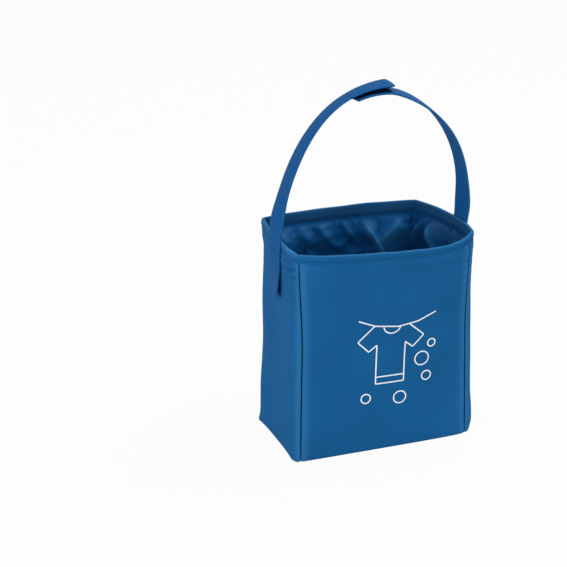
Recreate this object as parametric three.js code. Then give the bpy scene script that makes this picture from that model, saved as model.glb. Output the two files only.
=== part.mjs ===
// Peg basket: an open fabric bag on a flat base, with a handle of two straps closed by hook and loop tape.
// Millimetres, +Z up. X runs along the front, the front faces -Y, and the origin is the centre of the base.
import * as THREE from "three";

// Bag, as cut and sewn
const bagWidth = 170;
const bagDepth = 100;
const bagHeight = 190;
const cornerRadius = 7; // upright corners, in plan
const leastCorner = 1; // what is left of a corner on the innermost layers
const baseRadius = 5; // walls turning under into the base

// Mouth, as it stands open
const mouthFrontWidth = 160;
const mouthBackWidth = 148;
const mouthFrontReach = 50; // front corners, ahead of the centre
const mouthBackReach = 57; // back corners, behind the centre
const frontBow = 19;
const rightBow = 7.5;
const backBow = 7;
const leftBow = 3;
const frontDip = 2; // sag of the rim at the middle of the front

// Layers of a wall, from outside to inside
const shellThickness = 0.8;
const foamThickness = 1.2;
const liningThickness = 0.6;
const layerGap = 0.3; // between layers that are sewn together
const seamGap = 0.3; // between panels that meet at a seam

// Band folded over the rim
const bandThickness = 0.8;
const bandOutside = 7;
const bandInside = 10;

// Straps
const strapWidth = 25;
const strapThickness = 1.6;
const tailLength = 50; // sewn end, below the rim
const tailStep = 5; // height in which a tail climbs onto the band
const leftStrapY = -3;
const rightStrapY = -13;
const foldRise = 1; // fold line, above the rim
const foldGap = 0.3;

// Handle: one smooth line between the two folds, along which the straps meet
const crownX = 16.8;
const crownRise = 121.3; // above the rim
const crownReachLeft = 70; // how far the curve keeps the crown's direction
const crownReachRight = 11.5;
const leftLean = 9; // inwards from upright, at the left fold
const leftReach = 32;
const rightLean = 6.7; // outwards from upright, at the right fold
const rightReach = 101.7;
const rolls = [
  { at: 0.38, spread: 0.17, turn: 7.7 }, // front edge turned up, before the crown
  { at: 0.59, spread: 0.12, turn: -7.4 }, // front edge turned down, past it
];

// Closure at the crown
const tabPastCrown = 2.3; // left strap's end
const rightPastCrown = 30; // right strap's end, under the left strap
const tabLead = 3; // from the tab's fold to the right strap's end
const tapeThickness = 1.2;
const tapeWidth = 21;
const tapeInset = 1.5;

// Steps of the curved surfaces
const cornerSteps = 4;
const panelSteps = [10, 6, 6, 6]; // front, right, back and left
const filletSteps = 3;
const riseSteps = 10;
const strapSteps = 22;
const tabSteps = 6;
const tailColumns = 4;

// Values that follow from the above
const wallThickness = shellThickness + foamThickness + liningThickness + 2 * layerGap;
const foamDepth = shellThickness + layerGap;
const liningDepth = foamDepth + foamThickness + layerGap;
const wallTop = bagHeight - bandThickness - layerGap;
const foldHeight = bagHeight + foldRise;
const strapLow = layerGap / 2 + tapeThickness + layerGap;
const strapHigh = strapLow + strapThickness;

const sideNames = ["front", "right", "back", "left"];
const [front, right, back, left] = sideNames.keys();
const bows = [frontBow, rightBow, backBow, leftBow];
const dips = [frontDip, 0, 0, 0];
const baseCorners = [
  [-bagWidth / 2, -bagDepth / 2],
  [bagWidth / 2, -bagDepth / 2],
  [bagWidth / 2, bagDepth / 2],
  [-bagWidth / 2, bagDepth / 2],
];
const rimCorners = [
  [-mouthFrontWidth / 2, -mouthFrontReach],
  [mouthFrontWidth / 2, -mouthFrontReach],
  [mouthBackWidth / 2, mouthBackReach],
  [-mouthBackWidth / 2, mouthBackReach],
];

// Solids

const blend = (a, b, share) => a + (b - a) * share;
const spread = (from, to, steps) => Array.from({ length: steps + 1 }, (_, i) => blend(from, to, i / steps));

function faceOut(points, triangles) {
  const [a, b, c] = [new THREE.Vector3(), new THREE.Vector3(), new THREE.Vector3()];
  let volume = 0;
  for (let i = 0; i < triangles.length; i += 3) {
    a.copy(points[triangles[i]]);
    b.copy(points[triangles[i + 1]]);
    c.copy(points[triangles[i + 2]]);
    volume += a.dot(b.cross(c));
  }
  const facing = volume < 0 ? triangles.reverse() : triangles;
  return new THREE.BufferGeometry().setFromPoints(points).setIndex(facing);
}

// A thin solid between two grids of points of the same size
function slab(upper, lower) {
  const rows = upper.length;
  const columns = upper[0].length;
  const points = [...upper.flat(), ...lower.flat()];
  const top = (i, j) => i * columns + j;
  const bottom = (i, j) => rows * columns + top(i, j);
  const triangles = [];
  const quad = (a, b, c, d) => triangles.push(a, b, c, a, c, d);
  for (let i = 0; i + 1 < rows; i++) {
    for (let j = 0; j + 1 < columns; j++) {
      quad(top(i, j), top(i + 1, j), top(i + 1, j + 1), top(i, j + 1));
      quad(bottom(i, j), bottom(i, j + 1), bottom(i + 1, j + 1), bottom(i + 1, j));
    }
    quad(top(i, 0), bottom(i, 0), bottom(i + 1, 0), top(i + 1, 0));
    quad(top(i, columns - 1), top(i + 1, columns - 1), bottom(i + 1, columns - 1), bottom(i, columns - 1));
  }
  for (let j = 0; j + 1 < columns; j++) {
    quad(top(0, j), top(0, j + 1), bottom(0, j + 1), bottom(0, j));
    quad(top(rows - 1, j), bottom(rows - 1, j), bottom(rows - 1, j + 1), top(rows - 1, j + 1));
  }
  return faceOut(points, triangles);
}

// A ring of closed sections, joined end to end
function ring(sections) {
  const count = sections.length;
  const size = sections[0].length;
  const triangles = [];
  for (let i = 0; i < count; i++) {
    for (let k = 0; k < size; k++) {
      const [a, b] = [i * size + k, i * size + ((k + 1) % size)];
      const next = (((i + 1) % count) - i) * size;
      triangles.push(a, b, b + next, a, b + next, a + next);
    }
  }
  return faceOut(sections.flat(), triangles);
}

// Bag surface: a point by its side, its share along that side, its height and how far it lies inside the shell

function cornerAt(k, height) {
  const [base, rim] = [baseCorners[k % 4], rimCorners[k % 4]];
  const share = height / bagHeight;
  return new THREE.Vector2(blend(base[0], rim[0], share), blend(base[1], rim[1], share));
}

function inward(k, height) {
  const along = cornerAt(k + 1, height).sub(cornerAt(k, height)).normalize();
  return new THREE.Vector2(-along.y, along.x);
}

function insetCorner(k, height, inset) {
  const before = inward(k + 3, height);
  const after = inward(k, height);
  const shift = inset / (1 + before.dot(after));
  return cornerAt(k, height).addScaledVector(before.add(after), shift);
}

function sideLength(k, height, inset) {
  return insetCorner(k, height, inset).distanceTo(insetCorner(k + 1, height, inset));
}

function sidePoint(k, share, height, inset) {
  const [from, to] = [insetCorner(k, height, inset), insetCorner(k + 1, height, inset)];
  const bulge = 4 * share * (1 - share) * (height / bagHeight) ** 2;
  const flat = from.lerp(to, share).addScaledVector(inward(k, height), -bows[k % 4] * bulge);
  return new THREE.Vector3(flat.x, flat.y, height - dips[k % 4] * bulge);
}

const cornerSize = (inset) => Math.max(cornerRadius - inset, leastCorner);

function cornerPoint(k, share, height, inset) {
  const size = cornerSize(inset);
  const tip = insetCorner(k, height, inset);
  const start = sidePoint(k + 3, 1 - size / sideLength(k + 3, height, inset), height, inset);
  const end = sidePoint(k, size / sideLength(k, height, inset), height, inset);
  return new THREE.QuadraticBezierCurve3(start, new THREE.Vector3(tip.x, tip.y, height), end).getPoint(share);
}

function alongSide(k, height, inset, trim = 0) {
  const start = (cornerSize(inset) + trim) / sideLength(k, height, inset);
  return spread(start, 1 - start, panelSteps[k]).map((share) => sidePoint(k, share, height, inset));
}

function roundCorner(k, height, inset) {
  return spread(0, 1, cornerSteps).map((share) => cornerPoint(k, share, height, inset));
}

// One panel from seam to seam: the front and the back are flat, and the sides turn round the corners
function acrossPanel(k, height, inset) {
  if (k === front || k === back) return alongSide(k, height, inset, seamGap);
  const before = roundCorner(k, height, inset).slice(0, -1);
  const after = roundCorner(k + 1, height, inset).slice(1);
  return [...before, ...alongSide(k, height, inset), ...after];
}

// All four sides, closed
function aroundBag(height, inset) {
  return [front, right, back, left].flatMap((k) => {
    return [...alongSide(k, height, inset), ...roundCorner(k + 1, height, inset).slice(1, -1)];
  });
}

// Heights and insets of a wall layer, from the base's seam up to the rim
function wallProfile(depth) {
  const radius = baseRadius - depth;
  const turn = spread(Math.PI / 2, 0, filletSteps).map((angle) => ({
    height: baseRadius - radius * Math.sin(angle),
    inset: baseRadius - radius * Math.cos(angle),
  }));
  const rise = spread(baseRadius, wallTop, riseSteps).map((height) => ({ height, inset: depth }));
  return [...turn, ...rise.slice(1)];
}

function wallLayer(k, depth, thickness) {
  const face = (at) => wallProfile(at).map(({ height, inset }) => acrossPanel(k, height, inset));
  return slab(face(depth), face(depth + thickness));
}

function baseLayer(depth, thickness) {
  const outline = aroundBag(0, baseRadius + seamGap).map((p) => new THREE.Vector2(p.x, p.y));
  const plate = new THREE.ExtrudeGeometry(new THREE.Shape(outline), { depth: thickness, bevelEnabled: false });
  return plate.translate(0, 0, depth);
}

// The band's section is a U, upside down over the layers of the wall
function rimBand() {
  const outer = -layerGap - bandThickness;
  const inner = wallThickness + layerGap + bandThickness;
  const section = [
    [outer, bandOutside],
    [outer, 0],
    [inner, 0],
    [inner, bandInside],
    [inner - bandThickness, bandInside],
    [inner - bandThickness, bandThickness],
    [outer + bandThickness, bandThickness],
    [outer + bandThickness, bandOutside],
  ];
  const lines = section.map(([inset, drop]) => aroundBag(bagHeight - drop, inset));
  return ring(lines[0].map((_, i) => lines.map((line) => line[i])));
}

// Straps

const overBand = layerGap + bandThickness + layerGap;

function besidePanel(k, y, height, clear) {
  const [from, to] = [cornerAt(k, height).y, cornerAt(k + 1, height).y];
  return sidePoint(k, (y - from) / (to - from), height, -clear);
}

const strapEdges = (middle) => [middle - strapWidth / 2, middle + strapWidth / 2];

// The sewn end lies on the panel and climbs over the band's edge
function strapTail(k, middle) {
  const bandEdge = bagHeight - bandOutside - layerGap;
  const rows = [
    [bagHeight - tailLength, layerGap],
    [bandEdge - tailStep, layerGap],
    [bandEdge, overBand],
    [foldHeight - foldGap / 2, overBand],
  ];
  const columns = spread(...strapEdges(middle), tailColumns);
  const face = (lift) => rows.map(([height, clear]) => columns.map((y) => besidePanel(k, y, height, clear + lift)));
  return slab(face(strapThickness), face(0));
}

// Inner face of a strap at its fold, and the direction across it there
function foldLine(k, middle) {
  const [near, far] = strapEdges(middle).map((y) => besidePanel(k, y, foldHeight, overBand));
  const across = far.clone().sub(near).normalize();
  return { point: near.lerp(far, 0.5), across };
}

const radians = THREE.MathUtils.degToRad;
const leftFold = foldLine(left, leftStrapY);
const rightFold = foldLine(right, rightStrapY);
const leftRise = new THREE.Vector3(Math.sin(radians(leftLean)), 0, Math.cos(radians(leftLean)));
const rightRise = new THREE.Vector3(Math.sin(radians(rightLean)), 0, Math.cos(radians(rightLean)));
const outFromLeft = new THREE.Vector3(-leftRise.z, 0, leftRise.x);
const outFromRight = new THREE.Vector3(rightRise.z, 0, -rightRise.x);
const handleStart = leftFold.point.clone().addScaledVector(outFromLeft, -strapLow);
const handleEnd = rightFold.point.clone().addScaledVector(outFromRight, strapHigh);

function handleY(x) {
  return blend(handleStart.y, handleEnd.y, (x - handleStart.x) / (handleEnd.x - handleStart.x));
}

const onHandle = (x, z) => new THREE.Vector3(x, handleY(x), z);
const besides = (p, direction, reach) => onHandle(p.x + direction.x * reach, p.z + direction.z * reach);
const crown = onHandle(crownX, bagHeight + crownRise);
const crownWay = new THREE.Vector3(1, 0, 0);
const leftArch = new THREE.CubicBezierCurve3(
  handleStart,
  besides(handleStart, leftRise, leftReach),
  besides(crown, crownWay, -crownReachLeft),
  crown,
);
const rightArch = new THREE.CubicBezierCurve3(
  crown,
  besides(crown, crownWay, crownReachRight),
  besides(handleEnd, rightRise, rightReach),
  handleEnd,
);
const handle = new THREE.CurvePath();
handle.add(leftArch);
handle.add(rightArch);
const handleLength = handle.getLength();
const crownAt = leftArch.getLength();

// Place, outward direction and crosswise direction at a distance along the handle
function handleFrame(distance) {
  const share = distance / handleLength;
  const way = handle.getTangent(share);
  const across = leftFold.across.clone().lerp(rightFold.across, share);
  across.addScaledVector(way, -across.dot(way)).normalize();
  for (const { at, spread, turn } of rolls) {
    const fade = Math.exp(-(((share - at) / spread) ** 2)) * Math.sin(Math.PI * share);
    across.applyAxisAngle(way, -radians(turn) * fade);
  }
  return { point: handle.getPoint(share), across, out: way.clone().cross(across).normalize() };
}

function ribbon(from, to, low, high, width, steps) {
  const frames = spread(from, to, steps).map(handleFrame);
  const face = (lift) =>
    frames.map(({ point, across, out }) =>
      [-width / 2, width / 2].map((offset) =>
        point.clone().addScaledVector(out, lift).addScaledVector(across, offset),
      ),
    );
  return slab(face(high), face(low));
}

const tabEnd = crownAt + tabPastCrown;
const rightTrim = strapThickness * Math.sin(radians(rightLean)); // keeps the leaning end above its tail
const rightStrapStart = crownAt - rightPastCrown;
const rightStrapEnd = handleLength - foldGap / 2 - rightTrim;
const tabFold = rightStrapStart - tabLead;

// Finishes and pieces

const finish = (color, roughness) => new THREE.MeshStandardMaterial({ color, roughness, metalness: 0 });
const shellFinish = () => finish(0x1d5c92, 0.75);
const liningFinish = () => finish(0x123a66, 0.35);
const foamFinish = () => finish(0xd9dcdd, 0.95);
const strapFinish = () => finish(0x1f5788, 0.75);
const tapeFinish = () => finish(0x10202e, 0.95);

const basket = new THREE.Group();

function addPiece(name, geometry, material) {
  const mesh = new THREE.Mesh(geometry, material);
  mesh.name = name;
  basket.add(mesh);
}

for (const [k, name] of sideNames.entries()) {
  addPiece(`${name}_panel`, wallLayer(k, 0, shellThickness), shellFinish());
  addPiece(`${name}_foam`, wallLayer(k, foamDepth, foamThickness), foamFinish());
  addPiece(`${name}_lining`, wallLayer(k, liningDepth, liningThickness), liningFinish());
}
addPiece("base_panel", baseLayer(0, shellThickness), shellFinish());
addPiece("base_foam", baseLayer(foamDepth, foamThickness), foamFinish());
addPiece("base_lining", baseLayer(liningDepth, liningThickness), liningFinish());
addPiece("rim_band", rimBand(), shellFinish());

addPiece("left_strap_tail", strapTail(left, leftStrapY), strapFinish());
addPiece("right_strap_tail", strapTail(right, rightStrapY), strapFinish());
addPiece(
  "left_strap",
  ribbon(foldGap / 2, tabFold - foldGap / 2, strapLow, strapHigh, strapWidth, strapSteps),
  strapFinish(),
);
addPiece(
  "closure_tab",
  ribbon(tabFold + foldGap / 2, tabEnd, strapLow, strapHigh, strapWidth, tabSteps),
  strapFinish(),
);
addPiece(
  "right_strap",
  ribbon(rightStrapStart, rightStrapEnd, -strapHigh, -strapLow, strapWidth, strapSteps + tabSteps),
  strapFinish(),
);

const tapeStart = rightStrapStart + tapeInset;
const tapeEnd = tabEnd - tapeInset;
addPiece(
  "hook_tape",
  ribbon(tapeStart, tapeEnd, layerGap / 2, layerGap / 2 + tapeThickness, tapeWidth, tabSteps),
  tapeFinish(),
);
addPiece(
  "loop_tape",
  ribbon(tapeStart, tapeEnd, -layerGap / 2 - tapeThickness, -layerGap / 2, tapeWidth, tabSteps),
  tapeFinish(),
);

// Fold lines of the moving pieces: a point on each, and the direction that opens it by the right-hand rule
const tabFrame = handleFrame(tabFold);
basket.userData.folds = {
  left_strap_fold: {
    point: leftFold.point.clone().addScaledVector(outFromLeft, strapThickness + foldGap),
    axis: leftFold.across.clone().negate(),
  },
  right_strap_fold: { point: rightFold.point.clone(), axis: rightFold.across.clone().negate() },
  closure_tab_fold: {
    point: tabFrame.point.clone().addScaledVector(tabFrame.out, strapHigh),
    axis: tabFrame.across.clone().negate(),
  },
};

export default basket;
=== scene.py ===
# Peg basket: the finish of the fabric bag, its lining and its strap handle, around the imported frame
import math

import bpy
import numpy as np
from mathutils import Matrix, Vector


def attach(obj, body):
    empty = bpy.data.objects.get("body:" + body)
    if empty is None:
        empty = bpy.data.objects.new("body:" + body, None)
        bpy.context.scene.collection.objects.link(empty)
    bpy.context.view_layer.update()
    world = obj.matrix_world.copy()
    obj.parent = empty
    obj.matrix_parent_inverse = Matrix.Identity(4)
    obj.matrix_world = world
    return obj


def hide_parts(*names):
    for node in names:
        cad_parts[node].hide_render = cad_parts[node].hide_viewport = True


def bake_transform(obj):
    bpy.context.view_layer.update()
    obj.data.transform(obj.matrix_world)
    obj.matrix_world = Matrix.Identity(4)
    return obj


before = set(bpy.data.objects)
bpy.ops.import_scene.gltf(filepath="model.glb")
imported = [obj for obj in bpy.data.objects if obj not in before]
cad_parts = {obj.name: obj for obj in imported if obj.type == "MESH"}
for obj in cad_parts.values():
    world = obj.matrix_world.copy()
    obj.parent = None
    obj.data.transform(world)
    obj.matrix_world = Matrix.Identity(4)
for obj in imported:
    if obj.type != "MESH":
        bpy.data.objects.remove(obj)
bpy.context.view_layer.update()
print("frame loaded,", len(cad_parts), "nodes")

mm = 0.001
front, right, back, left = range(4)
sideNames = ("front", "right", "back", "left")

# Bag as cut and sewn, in metres; lists run front, right, back, left
bag = {
    "width": 0.170,
    "depth": 0.100,
    "height": 0.190,
    "cornerRadius": 0.007,
    "rimCorner": 0.0026,       # corners draw in towards the rim
    "rimCornerFrom": 0.10,
    "leastCorner": 0.001,
    "baseRadius": 0.005,
    "mouthFront": 0.160,
    "mouthBack": 0.148,
    "frontReach": 0.050,
    "backReach": 0.057,
    "bow": (0.019, 0.0075, 0.007, 0.003),
    "dip": (0.002, 0.0, 0.0, 0.0),
    "cornerDip": (0.0024, 0.0, 0.0, 0.0),
    "cornerDipAt": 0.86,       # share along the side
    "cornerDipWidth": 0.13,
    "cornerDipPower": 4,
    "shell": 0.0008,
    "foam": 0.0012,
    "lining": 0.0006,
    "layerGap": 0.0003,
    "band": 0.0008,
}
bag["foamDepth"] = bag["shell"] + bag["layerGap"]
bag["wallTop"] = bag["height"] - bag["band"] - bag["layerGap"]
halfWidth = bag["width"] / 2
halfDepth = bag["depth"] / 2
baseCorners = [(x * halfWidth, y * halfDepth) for x, y in ((-1, -1), (1, -1), (1, 1), (-1, 1))]
rimCorners = [
    (-bag["mouthFront"] / 2, -bag["frontReach"]),
    (bag["mouthFront"] / 2, -bag["frontReach"]),
    (bag["mouthBack"] / 2, bag["backReach"]),
    (-bag["mouthBack"] / 2, bag["backReach"]),
]

# How the cloth gives: sizes in metres
softness = {
    "belly": (0.0010, 0.0005, 0.0012, 0.0005),
    "wave": 0.0008,
    "waveSize": 0.060,
    "waveSeed": 11,
    "calmFoot": 0.020,         # waves and puckers set in above the base
    "calmRim": (0.165, 0.190),  # and lose a share towards the rim
    "calmed": 0.6,
    "gussetFold": 0.0028,
    "gussetWidth": 0.17,       # share of a side panel
    "gussetFoot": (0, 0.045),
    "gussetTop": (0.095, 0.170),
    "seamReach": 0.014,        # panels lie quiet this close to a seam
    "pucker": 0.00028,
    "puckerPitch": 0.0075,
    "puckerDrift": (3, 70),    # makes the pitch uneven: turns and how often
    "puckerReach": 0.006,
    "hemLift": 0.0032,         # sides of the base, off the table
    "hemReach": 0.028,
    "hemFall": 1.25,           # how soon the lift ends towards the corners
    "hemSqueeze": 0.0007,      # layers pressed together under the rim band
    "hemEdge": (0.1805, 0.1835),
    "hemPuff": 0.0006,         # shell standing out under the band
    "hemPuffAt": (0.1745, 0.0045),
    "rimPower": 8,             # how soon the rim's own levels fade downwards
    "footHeight": 0.013,
    "footRound": 0.35,
    "footSquare": 5,           # 2 would turn the walls under in a plain quarter circle
    "footLifts": [             # bottom corners off the table: side, end, height, reach
        (1, -1, 0.0012, 0.030),
        (1, -1, 0.0016, 0.007),
        (-1, 1, 0.0042, 0.0065),
    ],
    "crumple": 0.0022,         # small ridges at the front left corner of the rim
    "crumplePitch": 0.0075,
    "crumplePhase": 1,
    "crumpleSlope": 90,
    "crumpleAt": 0.018,        # from the front left seam
    "crumpleReach": 0.014,
    "crumpleFoot": (0.160, 0.172),
    "crumpleTop": (0.176, 0.183),
    "crumpleCalmed": 0.75,     # share that the band holds down
    "cornerReach": 0.016,
    "cornerTurn": 0.010,
}
# How far two upright edges stand out, as pairs of height and millimetres
edgeGive = {
    "backLeft": ((0, 3.2), (0.006, 1.1), (0.014, -1.3), (0.025, -2.7), (0.035, -2.9), (0.05, -2.3),
                 (0.07, -1.8), (0.10, -2.6), (0.13, -2.8), (0.155, -3.2), (0.169, -2.9), (0.177, -0.9),
                 (0.1845, 1.4), (0.190, 0.5)),
    "frontRight": ((0, -0.5), (0.006, 0.8), (0.012, 1.9), (0.029, 2.4), (0.045, 1.5), (0.065, 0.6),
                   (0.10, 0.5), (0.125, 0.9), (0.15, 1.1), (0.165, 0.6), (0.174, 0.0), (0.181, 1.3),
                   (0.190, 1.5)),
}
# How far the rim rises along each panel, as pairs of share and millimetres
rimLevels = (
    ((0, -2.0), (0.10, -2.1), (0.17, -1.6), (0.25, -1.0), (0.36, -0.2), (0.42, -0.1), (0.50, -1.1),
     (0.62, -1.5), (0.72, -2.6), (0.80, -2.1), (0.90, -1.8), (0.96, -2.4), (1, -1.0)),
    ((0, -1.0), (0.10, 0.8), (0.20, 2.4), (0.40, 2.6), (0.70, 2.1), (1, 2.5)),
    ((0, 2.5), (0.15, 2.4), (0.30, 2.2), (0.45, 1.6), (0.60, 1.3), (0.80, 1.0), (1, 0.8)),
    ((0, 0.8), (0.50, 0.0), (0.80, -1.4), (1, -2.0)),
)


# Small sums

def mix(a, b, share):
    return a + (b - a) * share


def ease(low, high, x):
    share = np.clip((x - low) / (high - low), 0, 1)
    return share * share * (3 - 2 * share)


def hump(x, centre, width):
    return np.exp(-(((x - centre) / width) ** 2))


def waves(x, z, size, seed, count=8):
    draw = np.random.default_rng(seed)
    total = np.zeros_like(x)
    for angle, phase, stretch in draw.uniform((0, 0, 0.7), (math.tau, math.tau, 1.7), (count, 3)):
        total += np.sin((x * math.cos(angle) + z * math.sin(angle)) * math.tau / (size * stretch) + phase)
    return total / math.sqrt(count)


def alongPairs(x, pairs):
    places, values = zip(*pairs)
    return mm * np.interp(x, places, values)


def unit(vectors):
    return vectors / np.linalg.norm(vectors, axis=-1, keepdims=True)


def squareTo(way, vectors):
    return unit(vectors - way * (vectors * way).sum(-1, keepdims=True))


# Distances along a line of points, then places and directions at some distances
def runOf(line):
    return np.concatenate([[0], np.cumsum(np.linalg.norm(np.diff(line, axis=0), axis=-1))])


def atRun(distances, run, line):
    return np.stack([np.interp(distances, run, values) for values in line.T], -1)


def wayAt(distances, run, line, step):
    return unit(atRun(distances + step, run, line) - atRun(distances - step, run, line))


def gridNormals(points):
    return unit(np.cross(np.gradient(points, axis=1), np.gradient(points, axis=0)))


# Bag surface by side, share along the side, height and depth under the shell's face

def cornerAt(k, height):
    share = height / bag["height"]
    base, rim = baseCorners[k % 4], rimCorners[k % 4]
    return np.stack([mix(base[0], rim[0], share), mix(base[1], rim[1], share)], -1)


def inwardOf(k, height):
    along = unit(cornerAt(k + 1, height) - cornerAt(k, height))
    return np.stack([-along[..., 1], along[..., 0]], -1)


def outwardOf(k, height):
    inward = inwardOf(k, height)
    return np.concatenate([-inward, np.zeros_like(inward[..., :1])], -1)


def insetCorner(k, height, inset):
    before, after = inwardOf(k + 3, height), inwardOf(k, height)
    shift = inset / (1 + (before * after).sum(-1))
    return cornerAt(k, height) + (before + after) * shift[..., None]


def sideLength(k, height, inset):
    return np.linalg.norm(insetCorner(k + 1, height, inset) - insetCorner(k, height, inset), axis=-1)


def sidePoint(k, share, height, inset):
    start, end = insetCorner(k, height, inset), insetCorner(k + 1, height, inset)
    bulge = 4 * share * (1 - share) * (height / bag["height"]) ** 2
    flat = mix(start, end, share[..., None]) - inwardOf(k, height) * (bag["bow"][k % 4] * bulge)[..., None]
    level = np.clip(height / bag["height"], 0, 1)
    dipped = hump(share, bag["cornerDipAt"], bag["cornerDipWidth"]) * level ** bag["cornerDipPower"]
    drop = bag["dip"][k % 4] * bulge + bag["cornerDip"][k % 4] * dipped
    return np.stack([flat[..., 0], flat[..., 1], height - drop], -1)


def cornerSize(height, inset):
    radius = mix(bag["cornerRadius"], bag["rimCorner"], ease(bag["rimCornerFrom"], bag["height"], height))
    return np.maximum(radius - inset, bag["leastCorner"])


def cornerPoint(k, share, height, inset):
    size = cornerSize(height, inset)
    start = sidePoint(k + 3, 1 - size / sideLength(k + 3, height, inset), height, inset)
    end = sidePoint(k, size / sideLength(k, height, inset), height, inset)
    tip = np.concatenate([insetCorner(k, height, inset), height[..., None]], -1)
    flattened = softness["footRound"] * (1 - ease(0, softness["footHeight"] * 2, height))[..., None]
    tip = mix(tip, (start + end) / 2, flattened)
    t = share[..., None]
    return start * (1 - t) ** 2 + tip * 2 * t * (1 - t) + end * t**2


arcFactor = 1.62  # length of a round corner, in corner radii


def panelLength(k):
    full = float(sideLength(k % 4, np.array(bag["height"] / 2), np.array(0.0)))
    turned = 2 * bag["cornerRadius"]
    return full - turned if k in (front, back) else full - turned + arcFactor * turned


def cornerShare(k):
    return 0.0 if k in (front, back) else arcFactor * bag["cornerRadius"] / panelLength(k)


# A panel from seam to seam: the front and the back are flat, the sides turn round the corners
def wallPoint(k, across, height, inset):
    edge = cornerShare(k)
    start = cornerSize(height, inset) / sideLength(k, height, inset)
    share = mix(start, 1 - start, (across - edge) / (1 - 2 * edge))
    flat = sidePoint(k, np.clip(share, 0, 1), height, inset)
    if edge == 0:
        return flat
    before = cornerPoint(k, np.clip(across / edge, 0, 1), height, inset)
    after = cornerPoint(k + 1, np.clip((across - 1 + edge) / edge, 0, 1), height, inset)
    nearStart, nearEnd = (across < edge)[..., None], (across > 1 - edge)[..., None]
    return np.where(nearStart, before, np.where(nearEnd, after, flat))


# The back left corner: flared at rim and foot, drawn in between
def backLeftGive(k, across, height):
    fromCorner = (1 - across if k == back else across) * panelLength(k)
    return alongPairs(height, edgeGive["backLeft"]) * np.exp(-fromCorner / softness["cornerReach"])


# The front right corner, past its seam
def frontRightGive(fromSeam, height):
    turned = ease(0, softness["cornerTurn"], fromSeam)
    past = np.maximum(fromSeam - softness["cornerTurn"], 0)
    return alongPairs(height, edgeGive["frontRight"]) * turned * np.exp(-past / softness["cornerReach"])


# Small ridges under the rim, beside the front left seam
def crumpleGive(fromSeam, height):
    turns = height * math.pi / softness["crumplePitch"] + softness["crumplePhase"]
    turns = turns + fromSeam * softness["crumpleSlope"]
    near = hump(fromSeam, softness["crumpleAt"], softness["crumpleReach"])
    near = near * ease(*softness["crumpleFoot"], height)
    near = near * (1 - softness["crumpleCalmed"] * ease(*softness["crumpleTop"], height))
    return softness["crumple"] * (2 * np.abs(np.sin(turns)) - 1) * near


def rimLevel(k, across, height):
    return alongPairs(across, rimLevels[k]) * (height / bag["height"]) ** softness["rimPower"]


def softOffset(k, across, height):
    length = panelLength(k)
    fromSeam = np.minimum(across, 1 - across) * length
    level = np.clip(height / bag["height"], 0, 1)
    calm = softness["calmed"] * ease(*softness["calmRim"], height)
    fade = ease(0, softness["calmFoot"], height) * (1 - calm)
    inPanel = ease(0, softness["seamReach"], fromSeam)
    offset = softness["belly"][k] * np.sin(math.pi * across) * np.sin(math.pi * level)
    wave = softness["wave"] * waves(across * length, height, softness["waveSize"], softness["waveSeed"] + k)
    offset = offset + wave * fade * inPanel
    drift, often = softness["puckerDrift"]
    ripple = np.sin(height * math.tau / softness["puckerPitch"] + drift * np.sin(height * often))
    offset = offset + softness["pucker"] * ripple * np.exp(-fromSeam / softness["puckerReach"]) * fade
    offset = offset - softness["hemSqueeze"] * ease(*softness["hemEdge"], height)
    offset = offset + softness["hemPuff"] * hump(height, *softness["hemPuffAt"])
    if k in (right, left):
        tall = ease(*softness["gussetFoot"], height) * (1 - ease(*softness["gussetTop"], height))
        offset = offset - softness["gussetFold"] * hump(across, 0.5, softness["gussetWidth"]) * tall
    if k in (back, left):
        offset = offset + backLeftGive(k, across, height)
    if k == right:
        offset = offset + frontRightGive(across * length, height)
    if k == left:
        offset = offset + crumpleGive((1 - across) * length, height)
    return offset


def hemLift(points):
    fromSide = np.maximum(halfWidth - np.abs(points[..., 0]), 0)
    arch = np.clip(1 - softness["hemFall"] * (points[..., 1] / halfDepth) ** 4, 0, 1)
    lift = softness["hemLift"] * arch * np.exp(-(fromSide + points[..., 2]) / softness["hemReach"])
    for side, end, height, reach in softness["footLifts"]:
        fromCorner = np.hypot(points[..., 0] - side * halfWidth, points[..., 1] - end * halfDepth)
        lift = lift + height * np.exp(-(fromCorner + points[..., 2]) / reach)
    return lift


# Points and outward directions of a wall layer, from the base's seam to the rim
def wallSurface(k, across, rise, depth):
    a, v = np.meshgrid(across, rise)
    radius = bag["baseRadius"] - depth
    arc = radius * math.pi / 2
    run = v * (arc + bag["wallTop"] - bag["baseRadius"])
    angle = math.pi / 2 * (1 - np.clip(run / arc, 0, 1))
    square = np.cos(angle) ** softness["footSquare"] + np.sin(angle) ** softness["footSquare"]
    reach = radius * square ** (-1 / softness["footSquare"])
    height = np.where(run < arc, bag["baseRadius"] - reach * np.sin(angle), bag["baseRadius"] + run - arc)
    points = wallPoint(k, a, height, bag["baseRadius"] - reach * np.cos(angle))
    out = gridNormals(points)
    sideways = out * np.array([1, 1, 0])     # so that nothing is pushed through the table
    points = points + sideways * softOffset(k, a, height)[..., None]
    points[..., 2] += hemLift(points) + rimLevel(k, a, height)
    return points, out


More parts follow.
